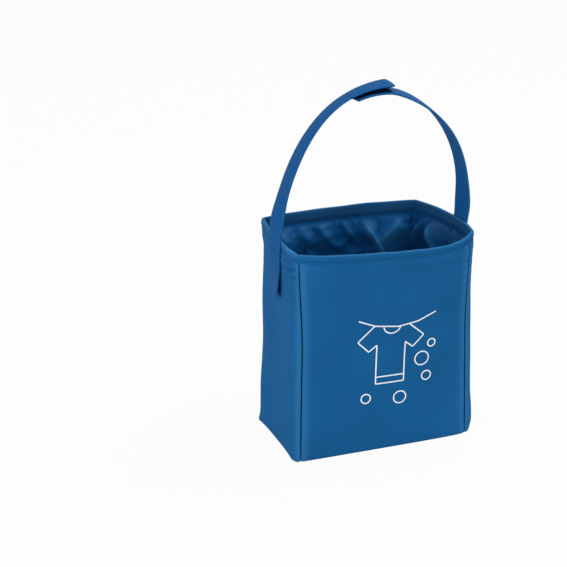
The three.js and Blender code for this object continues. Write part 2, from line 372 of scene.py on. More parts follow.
# The shell's face round the whole mouth, closed, at a list of heights
def mouthRing(heights, perSide):
    rings, outs = [], []
    for k in range(4):
        a, h = np.meshgrid(np.linspace(0, 1, perSide[k] + 1), heights)
        points = wallPoint(k, a, h, np.zeros_like(h))
        out = unit(np.gradient(points, axis=1))
        out = np.stack([out[..., 1], -out[..., 0], 0 * out[..., 2]], -1)
        points = points + out * softOffset(k, a, h)[..., None]
        points[..., 2] += rimLevel(k, a, h)
        rings.append(points[:, :-1])
        outs.append(out[:, :-1])
    points, out = np.concatenate(rings, 1), np.concatenate(outs, 1)
    out = unit(out + np.roll(out, 1, 1) + np.roll(out, -1, 1))
    return np.concatenate([points, points[:, :1]], 1), np.concatenate([out, out[:, :1]], 1)


# Modelling steps

def freshStart():
    if bpy.context.object and bpy.context.object.mode != "OBJECT":
        bpy.ops.object.mode_set(mode="OBJECT")
    bpy.ops.object.select_all(action="DESELECT")


def pick(*objects):
    freshStart()
    for piece in objects:
        piece.select_set(True)
    bpy.context.view_layer.objects.active = objects[0]


def coordinates(piece):
    flat = np.empty(len(piece.data.vertices) * 3)
    piece.data.vertices.foreach_get("co", flat)
    return flat.reshape(-1, 3)


def setCoordinates(piece, points):
    piece.data.vertices.foreach_set("co", np.asarray(points, float).ravel())
    piece.data.update()


def setAttribute(piece, name, values):
    layer = piece.data.attributes.new(name, "FLOAT", "POINT")
    layer.data.foreach_set("value", np.asarray(values, np.float32).ravel())


# A grid laid out on given points, with a UV map in metres along the cloth
def layCloth(name, points, wearAndHighlight=None):
    freshStart()
    rows, columns = points.shape[0] - 1, points.shape[1] - 1
    bpy.ops.mesh.primitive_grid_add(x_subdivisions=columns, y_subdivisions=rows, size=1)
    sheet = bpy.context.object
    sheet.name = name
    sheet.data.name = name
    place = coordinates(sheet)
    i = np.rint((place[:, 0] + 0.5) * columns).astype(int)
    j = np.rint((place[:, 1] + 0.5) * rows).astype(int)
    setCoordinates(sheet, points[j, i])
    along = np.linalg.norm(np.diff(points, axis=1), axis=-1).mean(0)
    up = np.linalg.norm(np.diff(points, axis=0), axis=-1).mean(1)
    uv = np.stack([np.concatenate([[0], np.cumsum(along)])[i], np.concatenate([[0], np.cumsum(up)])[j]], -1)
    corner = np.empty(len(sheet.data.loops), int)
    sheet.data.loops.foreach_get("vertex_index", corner)
    sheet.data.uv_layers[0].name = "cloth"
    sheet.data.uv_layers[0].data.foreach_set("uv", uv[corner].ravel())
    setAttribute(sheet, "wearAndHighlight", np.zeros(len(place)) if wearAndHighlight is None else np.asarray(wearAndHighlight)[j, i])
    return sheet


def useModifier(piece, kind, **values):
    pick(piece)
    modifier = piece.modifiers.new(kind.title(), kind)
    for key, value in values.items():
        setattr(modifier, key, value)
    bpy.ops.object.modifier_apply(modifier=modifier.name)


def editAll(piece, *steps):
    pick(piece)
    bpy.ops.object.mode_set(mode="EDIT")
    bpy.ops.mesh.select_all(action="SELECT")
    for step in steps:
        step()
    bpy.ops.object.mode_set(mode="OBJECT")


def weld(piece, distance):
    editAll(piece, lambda: bpy.ops.mesh.remove_doubles(threshold=distance),
            lambda: bpy.ops.mesh.normals_make_consistent(inside=False))


def shadeSmooth(piece, angle=50):
    pick(piece)
    bpy.ops.object.shade_smooth_by_angle(angle=math.radians(angle))


def thicken(piece, thickness, offset=-1.0, levels=1, even=True):
    if levels:
        useModifier(piece, "SUBSURF", levels=levels, render_levels=levels)
    useModifier(piece, "SOLIDIFY", thickness=thickness, offset=offset, use_even_offset=even)
    shadeSmooth(piece)


def dress(piece, material, body=None, nodes=()):
    piece.data.materials.clear()
    piece.data.materials.append(material)
    if body:
        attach(piece, body)
    if nodes:
        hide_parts(*nodes)


# Points and faces of a primitive, which is then removed
def takeShape(seed, scale=(1, 1, 1), turn=(0, 0, 0)):
    seed.scale = scale
    seed.rotation_euler = turn
    bpy.ops.object.transform_apply(location=False, rotation=True, scale=True)
    points = coordinates(seed)
    faces = [list(face.vertices) for face in seed.data.polygons]
    bpy.data.objects.remove(seed)
    return points, faces


# Threads and dye, with the scale and detail of their noises
weaving = {"ribSlope": 0.6, "fuzz": (900, 2), "threadHeight": 0.35, "bumpStrength": 0.8}
dye = {
    "broad": (22, 4),
    "fine": (620, 3),
    "fineShare": 0.4,
    "mean": 0.7,
    "leastRubbedAndLit": 0.15,
    "mattSpread": 0.22,
}


def newGroup(name, inputs, outputs):
    group = bpy.data.node_groups.new(name, "ShaderNodeTree")
    for title, kind, value in inputs:
        socket = group.interface.new_socket(name=title, in_out="INPUT", socket_type=kind)
        socket.default_value = value
    for title, kind in outputs:
        group.interface.new_socket(name=title, in_out="OUTPUT", socket_type=kind)
    return group, group.nodes.new("NodeGroupInput"), group.nodes.new("NodeGroupOutput")


def addNode(tree, kind, **values):
    node = tree.nodes.new(kind)
    for key, value in values.items():
        setattr(node, key, value)
    return node


# A number or a colour is set on a socket, and another node's output is linked to it
def feed(tree, socket, value):
    if isinstance(value, (int, float, tuple)):
        socket.default_value = value
    else:
        tree.links.new(value, socket)


def feedAll(tree, node, values):
    for name, value in values.items():
        feed(tree, node.inputs[name], value)


def sumNode(tree, operation, *values):
    node = addNode(tree, "ShaderNodeMath", operation=operation)
    for socket, value in zip(node.inputs, values):
        feed(tree, socket, value)
    return node.outputs[0]


def noiseNode(tree, vector, scale, detail):
    node = addNode(tree, "ShaderNodeTexNoise")
    feedAll(tree, node, {"Vector": vector, "Scale": scale, "Detail": detail})
    return node.outputs[0]


def mixColours(tree, factor, first, second):
    node = addNode(tree, "ShaderNodeMix", data_type="RGBA")
    for number, value in ((0, factor), (6, first), (7, second)):
        feed(tree, node.inputs[number], value)
    return node.outputs[2]


# Crossing threads: a plain weave, or slanting ribs where Slant is 1
def buildWeave():
    inputs = [
        ("Vector", "NodeSocketVector", (0, 0, 0)),
        ("Pitch", "NodeSocketFloat", 0.0006),
        ("Slant", "NodeSocketFloat", 0.0),
    ]
    group, source, sink = newGroup("threadWeave", inputs, [("Height", "NodeSocketFloat")])
    parts = addNode(group, "ShaderNodeSeparateXYZ")
    feed(group, parts.inputs[0], source.outputs["Vector"])
    counts = [sumNode(group, "DIVIDE", parts.outputs[n], source.outputs["Pitch"]) for n in (0, 1)]
    turns = [sumNode(group, "MULTIPLY", count, math.tau) for count in counts]
    plain = sumNode(group, "MULTIPLY", sumNode(group, "SINE", turns[0]), sumNode(group, "SINE", turns[1]))
    slope = sumNode(group, "MULTIPLY", turns[1], weaving["ribSlope"])
    ribs = sumNode(group, "SINE", sumNode(group, "ADD", turns[0], slope))
    straight = sumNode(group, "SUBTRACT", 1, source.outputs["Slant"])
    plain = sumNode(group, "MULTIPLY", plain, straight)
    ribs = sumNode(group, "MULTIPLY", ribs, source.outputs["Slant"])
    fuzz = noiseNode(group, source.outputs["Vector"], *weaving["fuzz"])
    threads = sumNode(group, "ADD", plain, ribs)
    height = sumNode(group, "MULTIPLY_ADD", threads, weaving["threadHeight"], fuzz)
    feed(group, sink.inputs["Height"], height)
    return group


# Uneven dye, rubbed edges and a little dust; the same lighter mix also paints highlights on the lining's
# crease crests and on a rim ridge
def buildTone():
    inputs = [
        ("Color", "NodeSocketColor", (0.5, 0.5, 0.5, 1)),
        ("RubbedAndHighlightColour", "NodeSocketColor", (0.6, 0.6, 0.6, 1)),
        ("WearAndHighlightShare", "NodeSocketFloat", 0.0),
        ("Unevenness", "NodeSocketFloat", 0.1),
        ("Matt", "NodeSocketFloat", 0.7),
    ]
    outputs = [("Color", "NodeSocketColor"), ("Roughness", "NodeSocketFloat")]
    group, source, sink = newGroup("clothTone", inputs, outputs)
    place = addNode(group, "ShaderNodeTexCoord").outputs["Object"]
    broad = noiseNode(group, place, *dye["broad"])
    fine = noiseNode(group, place, *dye["fine"])
    mottle = sumNode(group, "MULTIPLY_ADD", fine, dye["fineShare"], broad)
    centred = sumNode(group, "SUBTRACT", mottle, dye["mean"])
    shade = sumNode(group, "MULTIPLY_ADD", centred, source.outputs["Unevenness"], 1)
    scaled = addNode(group, "ShaderNodeVectorMath", operation="SCALE")
    feed(group, scaled.inputs[0], source.outputs["Color"])
    feed(group, scaled.inputs["Scale"], shade)
    rubbedAndLitShare = sumNode(group, "ADD", fine, dye["leastRubbedAndLit"])
    rubbedAndLitShare = sumNode(group, "MULTIPLY", source.outputs["WearAndHighlightShare"], rubbedAndLitShare)
    colour = mixColours(group, rubbedAndLitShare, scaled.outputs[0], source.outputs["RubbedAndHighlightColour"])
    rough = sumNode(group, "MULTIPLY_ADD", centred, dye["mattSpread"], source.outputs["Matt"])
    feedAll(group, sink, {"Color": colour, "Roughness": rough})
    return group


weaveGroup = buildWeave()
toneGroup = buildTone()


def linear(red, green, blue):
    def one(value):
        value /= 255
        return value / 12.92 if value <= 0.04045 else ((value + 0.055) / 1.055) ** 2.4
    return (one(red), one(green), one(blue), 1.0)


looks = {
    "shellCloth": {"colour": (24, 88, 139), "rubbedAndHighlight": (58, 122, 174), "pitch": 0.00062, "bump": 0.00012,
                   "matt": 0.75, "uneven": 0.34, "slant": 0.0, "shine": 0.05},
    "facingCloth": {"colour": (28, 74, 116), "rubbedAndHighlight": (30, 88, 138), "pitch": 0.00062, "bump": 0.00010,
                    "matt": 0.62, "uneven": 0.18, "slant": 0.0, "shine": 0.08},
    # The lining's second, lighter colour is only the painted highlight along its crease crests
    "liningCloth": {"colour": (12, 70, 121), "rubbedAndHighlight": (70, 150, 206), "pitch": 0.00030, "bump": 0.00002,
                    "matt": 0.40, "uneven": 0.22, "slant": 0.0, "shine": 0.18},
    "foamSheet": {"colour": (216, 219, 221), "rubbedAndHighlight": (232, 233, 233), "pitch": 0.0011, "bump": 0.00020,
                  "matt": 0.9, "uneven": 0.10, "slant": 0.0, "shine": 0.2},
    "strapWebbing": {"colour": (14, 79, 135), "rubbedAndHighlight": (42, 102, 152), "pitch": 0.00130, "bump": 0.00016,
                     "matt": 0.70, "uneven": 0.32, "slant": 1.0, "shine": 0.07},
    "hookLoopTape": {"colour": (10, 30, 52), "rubbedAndHighlight": (36, 58, 86), "pitch": 0.0009, "bump": 0.00018,
                     "matt": 0.85, "uneven": 0.25, "slant": 0.0, "shine": 0.10},
    "sewingThread": {"colour": (20, 84, 140), "rubbedAndHighlight": (66, 128, 180), "pitch": 0.00045, "bump": 0.00006,
                     "matt": 0.5, "uneven": 0.10, "slant": 1.0, "shine": 0.15},
    "whiteInk": {"colour": (236, 240, 243), "rubbedAndHighlight": (190, 206, 220), "pitch": 0.00062, "bump": 0.00008,
                 "matt": 0.55, "uneven": 0.08, "slant": 0.0, "shine": 0.3},
}


def clothMaterial(name):
    look = looks[name]
    material = bpy.data.materials.new(name)
    material.use_nodes = True
    tree = material.node_tree
    uv = addNode(tree, "ShaderNodeUVMap", uv_map="cloth")
    weave = addNode(tree, "ShaderNodeGroup", node_tree=weaveGroup)
    feedAll(tree, weave, {"Vector": uv.outputs[0], "Pitch": look["pitch"], "Slant": look["slant"]})
    bumps = addNode(tree, "ShaderNodeBump")
    feedAll(tree, bumps, {
        "Strength": weaving["bumpStrength"],
        "Distance": look["bump"],
        "Height": weave.outputs["Height"],
    })
    # This attribute is real wear on seams and edges, and painted highlight on lining crests and on the rim's
    # crushed ridge
    wearAndHighlight = addNode(tree, "ShaderNodeAttribute", attribute_name="wearAndHighlight")
    tone = addNode(tree, "ShaderNodeGroup", node_tree=toneGroup)
    feedAll(tree, tone, {
        "Color": linear(*look["colour"]),
        "RubbedAndHighlightColour": linear(*look["rubbedAndHighlight"]),
        "WearAndHighlightShare": wearAndHighlight.outputs["Fac"],
        "Unevenness": look["uneven"],
        "Matt": look["matt"],
    })
    feedAll(tree, tree.nodes["Principled BSDF"], {
        "Base Color": tone.outputs["Color"],
        "Roughness": tone.outputs["Roughness"],
        "Specular IOR Level": look["shine"],
        "Specular Tint": linear(*look["rubbedAndHighlight"]),
        "Normal": bumps.outputs[0],
    })
    return material


cloths = {name: clothMaterial(name) for name in looks}
print("materials made:", len(cloths))

# Camera at the photograph's angle; pixels are in its 567 by 567 frame
view = {
    "azimuth": -21.677,
    "elevation": 20.621,
    "distance": 1.304,
    "target": (0, 0, 0.095),
    "framePixels": 567,
    "focalPixels": 1469,
    "targetPixel": (363.63, 329.33),
    "sensor": 36,
}


def addCamera():
    freshStart()
    turn, tilt = math.radians(view["azimuth"]), math.radians(view["elevation"])
    away = Vector((math.sin(turn) * math.cos(tilt), -math.cos(turn) * math.cos(tilt), math.sin(tilt)))
    bpy.ops.object.camera_add(location=Vector(view["target"]) + away * view["distance"])
    camera = bpy.context.object
    camera.rotation_euler = (-away).to_track_quat("-Z", "Y").to_euler()
    camera.data.sensor_width = view["sensor"]
    camera.data.lens = view["sensor"] * view["focalPixels"] / view["framePixels"]
    middle = view["framePixels"] / 2
    camera.data.shift_x = (middle - view["targetPixel"][0]) / view["framePixels"]
    camera.data.shift_y = (view["targetPixel"][1] - middle) / view["framePixels"]
    bpy.context.scene.camera = camera


addCamera()

# Studio: soft boxes, a pale floor and a white surround
studio = {
    "floorSize": 14,
    "floorColour": (0.50, 0.50, 0.51, 1),
    "floorMatt": 0.9,
    "floorGlow": 0.95,         # share of the floor that is seen as plain white
    "surround": 0.87,
    "backdrop": 0.97,          # surround as the camera sees it
    "aim": (0, 0, 0.12),
    "boxes": {
        "keyBox": {"place": (-1.7, -1.1, 0.24), "size": 0.4, "power": 15},
        "fillBox": {"place": (1.1, -1.7, 0.9), "size": 1.3, "power": 7},
        "topBox": {"place": (1.0, 0.0, 1.5), "size": 0.9, "power": 13},
    },
}


def seenRay(tree):
    rays = addNode(tree, "ShaderNodeLightPath")
    looked = sumNode(tree, "MAXIMUM", rays.outputs["Is Camera Ray"], rays.outputs["Is Glossy Ray"])
    return sumNode(tree, "MAXIMUM", looked, rays.outputs["Is Transmission Ray"])


def addFloor():
    freshStart()
    bpy.ops.mesh.primitive_plane_add(size=studio["floorSize"])
    floor = bpy.context.object
    floor.name = "floor"
    material = bpy.data.materials.new("paleFloor")
    material.use_nodes = True
    tree = material.node_tree
    shader = tree.nodes["Principled BSDF"]
    feedAll(tree, shader, {"Base Color": studio["floorColour"], "Roughness": studio["floorMatt"]})
    glow = addNode(tree, "ShaderNodeEmission")
    both = addNode(tree, "ShaderNodeMixShader")
    share = sumNode(tree, "MULTIPLY", seenRay(tree), studio["floorGlow"])
    for socket, value in zip(both.inputs, (share, shader.outputs[0], glow.outputs[0])):
        feed(tree, socket, value)
    feed(tree, tree.nodes["Material Output"].inputs["Surface"], both.outputs[0])
    floor.data.materials.append(material)


def addLight():
    world = bpy.data.worlds.new("surround")
    world.use_nodes = True
    tree = world.node_tree
    lift = studio["backdrop"] - studio["surround"]
    strength = sumNode(tree, "MULTIPLY_ADD", seenRay(tree), lift, studio["surround"])
    feedAll(tree, tree.nodes["Background"], {"Color": (1, 1, 1, 1), "Strength": strength})
    bpy.context.scene.world = world
    for name, box in studio["boxes"].items():
        bpy.ops.object.light_add(type="AREA", location=box["place"])
        lamp = bpy.context.object
        lamp.name = name
        lamp.data.size = box["size"]
        lamp.data.energy = box["power"]
        aim = Vector(studio["aim"]) - Vector(box["place"])
        lamp.rotation_euler = aim.to_track_quat("-Z", "Y").to_euler()


addFloor()
addLight()
bpy.context.scene.view_settings.view_transform = "Standard"
print("camera and studio set")

# Shell panels: flat cloth turned in at the seams
panel = {
    "edgeSteps": (0.0005, 0.0010, 0.0019, 0.0035, 0.0060),   # from the seam
    "innerFrom": 0.009,        # where the even columns begin
    "columns": 40,
    "rows": (12, 40, 36),      # in the foot, in the wall and near the rim
    "rowsEnd": (0.065, 0.80, 1),
    "sinkSteps": (0.0026, 0.0014, 0.0005),                   # turned in between the two panels
    "sinkAtRim": 0.3,
    "sinkFade": (0.150, 0.172),
    "shoulder": 0.0007,
    "shoulderWidth": 0.0014,
    "wearAndHighlight": 0.55,              # rubbed along the seams
    "wearAt": 0.0022,
    "wearReach": 0.0035,
}


def makePanel(k):
    length = panelLength(k)
    edge = np.array(panel["edgeSteps"])
    inner = np.linspace(panel["innerFrom"], length - panel["innerFrom"], panel["columns"])
    run = np.concatenate([edge, inner, length - edge[::-1]])
    ends = (0, *panel["rowsEnd"])
    stretches = [np.linspace(ends[n], ends[n + 1], count + 1)[1:] for n, count in enumerate(panel["rows"])]
    rise = np.concatenate([[0], *stretches])
    points, out = wallSurface(k, run / length, rise, 0)
    fromSeam = np.minimum(run, length - run)
    points = points - out * (panel["shoulder"] * hump(fromSeam, 0, panel["shoulderWidth"]))[None, :, None]
    sinks = np.array(panel["sinkSteps"])
    shallow = mix(1, panel["sinkAtRim"], ease(*panel["sinkFade"], points[:, :1, 2:]))
    sideOne = [points[:, :1] - out[:, :1] * s * shallow for s in sinks]
    sideTwo = [points[:, -1:] - out[:, -1:] * s * shallow for s in sinks[::-1]]
    points = np.concatenate([*sideOne, points, *sideTwo], 1)
    rubbedAndHighlight = np.pad(hump(fromSeam, panel["wearAt"], panel["wearReach"]), len(sinks))
    wearAndHighlight = panel["wearAndHighlight"] * np.tile(rubbedAndHighlight, (len(rise), 1))
    sheet = layCloth(f"{sideNames[k]}Shell", points, wearAndHighlight)
    thicken(sheet, bag["shell"], even=False)
    dress(sheet, cloths["shellCloth"], "bag", [f"{sideNames[k]}_panel"])


for k in range(4):
    makePanel(k)
print("shell panels made")

# Foam between shell and lining
foam = {"seamRoom": 0.006, "rise": (0.02, 0.86), "columns": 24, "rows": 30}


def makeFoam(k):
    length = panelLength(k)
    across = np.linspace(foam["seamRoom"], length - foam["seamRoom"], foam["columns"]) / length
    points, _ = wallSurface(k, across, np.linspace(*foam["rise"], foam["rows"]), bag["foamDepth"])
    sheet = layCloth(f"{sideNames[k]}Foam", points)
    thicken(sheet, bag["foam"])
    dress(sheet, cloths["foamSheet"], "bag", [f"{sideNames[k]}_foam"])


for k in range(4):
    makeFoam(k)

# Base: shell and foam, lifted a little where the sides draw it up
base = {
    "columns": 36,
    "rows": 22,
    "seamGap": 0.0003,
    "foamRoom": 0.004,         # foam cut smaller than the shell
    "wave": 0.00025,
    "waveSize": 0.05,
    "waveSeed": 5,
    "waveFrom": 0.02,          # from the edge
}


def makeBase(name, depth, thickness, room, cloth, node):
    reach = bag["baseRadius"] + base["seamGap"] + room
    x, y = np.meshgrid(np.linspace(reach - halfWidth, halfWidth - reach, base["columns"]),
                       np.linspace(reach - halfDepth, halfDepth - reach, base["rows"]))
    points = np.stack([x, y, np.zeros_like(x)], -1)
    fromEdge = np.minimum(halfWidth - reach - np.abs(x), halfDepth - reach - np.abs(y))
    wave = base["wave"] * ease(0, base["waveFrom"], fromEdge)
    wave = wave * (1 + waves(x, y, base["waveSize"], base["waveSeed"]))
    points[..., 2] += depth + hemLift(points) + wave
    sheet = layCloth(name, points)
    thicken(sheet, thickness, offset=1.0)
    dress(sheet, cloths[cloth], "bag", [node])
    return sheet


baseShell = makeBase("baseShell", 0, bag["shell"], 0, "shellCloth", "base_panel")
baseFoam = makeBase("baseFoam", bag["foamDepth"], bag["foam"], base["foamRoom"],
                    "foamSheet", "base_foam")
print("foam and base made")

# Lining: a loose inner bag, cut larger than the wall and left to crumple
lining = {
    "inset": 0.0031,
    "topInset": 0.0010,        # where the hem presses the layers together
    "pressed": (0.165, 0.180),
    "top": 0.1860,
    "bottom": 0.0031,
    "thickness": 0.5,          # share of the cloth's own
    "columns": (58, 36, 58, 36),
    "rows": 60,
    "weld": 0.0006,
    "flat": ((0.175, 0.19), (0.105, 0.19), (0.175, 0.19), (0.105, 0.19), (0.168, 0.098)),
    "pinnedAbove": 0.1785,
    "pinnedBelow": 0.012,
    "footPin": 0.35,           # weight of the pins at the foot
    "easing": 0.030,           # height under the pins in which it comes loose
    "spare": 0.14,             # how much larger the lining is cut
    "frames": 30,
    "most": 0.008,             # furthest that the crumpling takes it off the wall
    "mostSlide": 0.004,
    "crinkle": 0.0007,
    "crinkleSize": 0.020,
    "crinkleSeed": 31,
    "swag": 0.0038,
    "swagSize": 0.050,
    "swagSeed": 71,
    "swagLean": 0.75,
    "swagStretch": (0.7, 1.5),
    "swagPower": 1.5,
    "looseTop": (-0.003, 0.001),    # creases end at the pins
    "looseFoot": (0.02, 0.06),      # and above the floor
    "onWall": (-0.006, -0.002),     # how near to a wall's plane a point belongs to it
    # Strength and fullness of the painted highlight on the lining's crease crests
    "crestLight": 0.42,
    "crestFull": 0.0085,
    "crestRound": 0.0014,      # radius along the top of a crease
    "creaseSpread": (0.7, 0.8),     # width at the start and its growth
    "creaseSwell": (-0.05, 0.30),   # where along its length a crease rises and fades
    "creaseFade": (0.7, 1.6),
}
# Creases that the photograph shows: side, start and end as share along the side and height, depth, width
# and how much wider the flank is on the side where the share is smaller
liningCreases = [
    (back, (0.36, 0.180), (0.24, 0.140), 0.0105, 0.0050, 1),
    (back, (0.078, 0.182), (0.30, 0.149), 0.0085, 0.0050, 6),
    (back, (0.50, 0.180), (0.41, 0.160), 0.0040, 0.0035, 1),
    (back, (0.66, 0.181), (0.58, 0.160), 0.0060, 0.0080, 1),
    (back, (0.79, 0.180), (0.70, 0.158), 0.0052, 0.0090, 1),
    (back, (0.92, 0.180), (0.84, 0.148), 0.0065, 0.0100, 1),
    (right, (0.865, 0.181), (0.960, 0.142), 0.0085, 0.0030, 1),
    (right, (0.79, 0.181), (0.56, 0.142), 0.0095, 0.0034, 3),
    (right, (0.38, 0.180), (0.36, 0.150), 0.0040, 0.0050, 1),
    (right, (0.16, 0.180), (0.26, 0.142), 0.0050, 0.0055, 1),
    (left, (0.20, 0.180), (0.34, 0.140), 0.0065, 0.0055, 1),
    (left, (0.78, 0.180), (0.62, 0.142), 0.0065, 0.0055, 1),
    (front, (0.10, 0.180), (0.22, 0.140), 0.0070, 0.0055, 1),
    (front, (0.46, 0.180), (0.40, 0.145), 0.0055, 0.0050, 1),
    (front, (0.60, 0.180), (0.70, 0.140), 0.0070, 0.0055, 1),
    (front, (0.93, 0.180), (0.84, 0.145), 0.0060, 0.0050, 1),
]


def creaseDepth(k, share, height):
    length = panelLength(k)
    least, growth = lining["creaseSpread"]
    total = np.zeros_like(share)
    for side, start, end, depth, width, flank in liningCreases:
        if side != k:
            continue
        way = np.array([(end[0] - start[0]) * length, end[1] - start[1]])
        x, z = share * length - start[0] * length, height - start[1]
        t = (x * way[0] + z * way[1]) / (way @ way)
        gap = np.hypot(x - way[0] * t, z - way[1] * t)
        gap = np.hypot(gap, lining["crestRound"]) - lining["crestRound"]
        spreading = width * (least + growth * np.clip(t, 0, 1)) * np.where(x * way[1] > z * way[0], flank, 1)
        swell = ease(*lining["creaseSwell"], t) * (1 - ease(*lining["creaseFade"], t))
        total = np.maximum(total, depth * np.exp(-gap / spreading) * swell)
    return total


def liningWall(k):
    share, height = np.meshgrid(np.linspace(0, 1, lining["columns"][k] + 1),
                                np.linspace(lining["bottom"], lining["top"], lining["rows"] + 1))
    inset = mix(lining["inset"], lining["topInset"], ease(*lining["pressed"], height))
    if k in (back, left):
        inset = inset - np.minimum(backLeftGive(k, share, height), 0)
    points = sidePoint(k, share, height, inset)
    offset = softOffset(k, share, height) * np.sin(math.pi * share) ** 0.5
    points = points + outwardOf(k, height) * offset[..., None]
    points[..., 2] += hemLift(points) + rimLevel(k, share, height)
    return points


def liningFloor():
    corners = [insetCorner(k, np.array(lining["bottom"]), np.array(lining["inset"])) for k in range(4)]
    x, y = np.meshgrid(np.linspace(corners[0][0], corners[1][0], lining["columns"][front] + 1),
                       np.linspace(corners[0][1], corners[3][1], lining["columns"][right] + 1))
    points = np.stack([x, y, np.full_like(x, lining["bottom"])], -1)
    points[..., 2] += hemLift(points)
    return points


# Thin, springy cloth for the crumpling
springs = {
    "quality": 6,
    "mass": 0.01,
    "tension_stiffness": 14,
    "compression_stiffness": 14,
    "shear_stiffness": 6,
    "bending_stiffness": 0.004,
    "air_damping": 3,
    "shrink_min": -lining["spare"],
    "vertex_group_mass": "pins",
}


def crumple(piece):
    pins = piece.vertex_groups.new(name="pins")
    for index, height in enumerate(coordinates(piece)[:, 2]):
        if height > lining["pinnedAbove"]:
            pins.add([index], 1.0, "REPLACE")
        elif height < lining["pinnedBelow"]:
            pins.add([index], lining["footPin"], "REPLACE")
    pick(piece)
    modifier = piece.modifiers.new("Crumple", "CLOTH")
    for key, value in springs.items():
        setattr(modifier.settings, key, value)
    modifier.settings.effector_weights.gravity = 0
    modifier.collision_settings.use_collision = False
    modifier.point_cache.frame_end = lining["frames"]
    for number in range(1, lining["frames"] + 1):
        bpy.context.scene.frame_set(number)
    bpy.ops.object.modifier_apply(modifier=modifier.name)
    bpy.context.scene.frame_set(1)
    piece.vertex_groups.clear()


# Sharp crests with hollows between them, crossing in slanting lines
def swagDepth(k, run, height):
    draw = np.random.default_rng(lining["swagSeed"] + k)
    lean, (least, most) = lining["swagLean"], lining["swagStretch"]
    total = np.zeros_like(run)
    for angle, phase, stretch in draw.uniform((-lean, 0, least), (lean, math.tau, most), (3, 3)):
        way = run * math.cos(angle) + height * math.sin(angle)
        total += np.sin(way * math.tau / (lining["swagSize"] * stretch) + phase)
    return lining["swag"] * (1 - np.minimum(np.abs(total), 1)) ** lining["swagPower"]


# How creases and small crinkles stand off the wall, and the painted highlight that lightens their crests
def creaseShift(flat):
    shift, crest = np.zeros_like(flat), np.zeros(len(flat))
    height = flat[:, 2]
    below, above = lining["looseTop"]
    loose = 1 - ease(lining["pinnedAbove"] + below, lining["pinnedAbove"] + above, height)
    loose = loose * ease(*lining["looseFoot"], height)
    for k in range(4):
        start, end = insetCorner(k, height, lining["inset"]), insetCorner(k + 1, height, lining["inset"])
        inward = inwardOf(k, height)
        along = end - start
        share = ((flat[:, :2] - start) * along).sum(-1) / (along * along).sum(-1)
        outside = -((flat[:, :2] - start) * inward).sum(-1)
        here = ease(*lining["onWall"], outside) * loose
        run = share * panelLength(k)
        crinkle = np.abs(waves(run, height, lining["crinkleSize"], lining["crinkleSeed"] + k))
        stand = here * np.maximum(creaseDepth(k, share, height), swagDepth(k, run, height))
        shift[:, :2] += inward * (stand + here * lining["crinkle"] * crinkle)[:, None]
        crest = np.maximum(crest, stand)
    return shift, lining["crestLight"] * np.clip(crest / lining["crestFull"], 0, 1) ** 3


def limitedShift(start, normal, moved):
    inward = -(moved * normal).sum(-1)
    sliding = moved + normal * inward[:, None]
    loose = 1 - ease(lining["pinnedAbove"] - lining["easing"], lining["pinnedAbove"], start[:, 2])
    stand = lining["most"] * np.tanh(np.clip(inward, 0, None) / lining["most"]) * loose
    slide = np.clip(np.linalg.norm(sliding, axis=1), 1e-9, None)
    sliding = sliding * (np.minimum(slide, lining["mostSlide"]) / slide * loose)[:, None]
    return sliding - normal * stand[:, None]


def joinLining():
    walls = [layCloth(f"{sideNames[k]}Lining", liningWall(k)) for k in range(4)]
    walls.append(layCloth("baseLining", liningFloor()))
    for number, wall in enumerate(walls):
        mark = wall.data.attributes.new("part", "INT", "FACE")
        mark.data.foreach_set("value", np.full(len(wall.data.polygons), number, np.int32))
    pick(*walls)
    bpy.ops.object.join()
    whole = bpy.context.object
    whole.name = "liningBag"
    weld(whole, lining["weld"])
    return whole


def readVectors(layer, count):
    flat = np.empty(count * 3, np.float32)
    layer.foreach_get("vector", flat)
    return flat.reshape(-1, 3).astype(float)


def makeLining():
    whole = joinLining()
    start = coordinates(whole)
    normal = np.empty(len(start) * 3)
    whole.data.vertices.foreach_get("normal", normal)
    normal = normal.reshape(-1, 3)
    layer = whole.data.attributes.new("flatPlace", "FLOAT_VECTOR", "POINT")
    layer.data.foreach_set("vector", start.astype(np.float32).ravel())
    crumple(whole)
    setCoordinates(whole, start + limitedShift(start, normal, coordinates(whole) - start))
    editAll(whole, lambda: bpy.ops.mesh.vertices_smooth(factor=0.5, repeat=1))
    useModifier(whole, "SUBSURF", levels=1, render_levels=1)
    flat = readVectors(whole.data.attributes["flatPlace"].data, len(whole.data.vertices))
    shift, crest = creaseShift(flat)
    setCoordinates(whole, coordinates(whole) + shift)
    # The lining's wear attribute holds only the painted highlight on its crests
    whole.data.attributes["wearAndHighlight"].data.foreach_set("value", crest.astype(np.float32))
    splitLining(whole)


def splitLining(whole):
    part = np.empty(len(whole.data.polygons), np.int32)
    whole.data.attributes["part"].data.foreach_get("value", part)
    for number, side in enumerate((*sideNames, "base")):
        pick(whole)
        bpy.ops.object.duplicate()
        piece = bpy.context.object
        piece.name = f"{side}Lining"
        piece.data.name = piece.name
        bpy.ops.object.mode_set(mode="EDIT")
        bpy.ops.mesh.select_mode(type="FACE")
        bpy.ops.mesh.select_all(action="DESELECT")
        bpy.ops.object.mode_set(mode="OBJECT")
        piece.data.polygons.foreach_set("select", part != number)
        bpy.ops.object.mode_set(mode="EDIT")
        bpy.ops.mesh.delete(type="FACE")
        bpy.ops.mesh.select_mode(type="VERT")
        bpy.ops.object.mode_set(mode="OBJECT")
        thicken(piece, bag["lining"] * lining["thickness"], levels=0, even=False)
        dress(piece, cloths["liningCloth"], "bag", [f"{side}_lining"])
    bpy.data.objects.remove(whole)


makeLining()
print("lining crumpled")

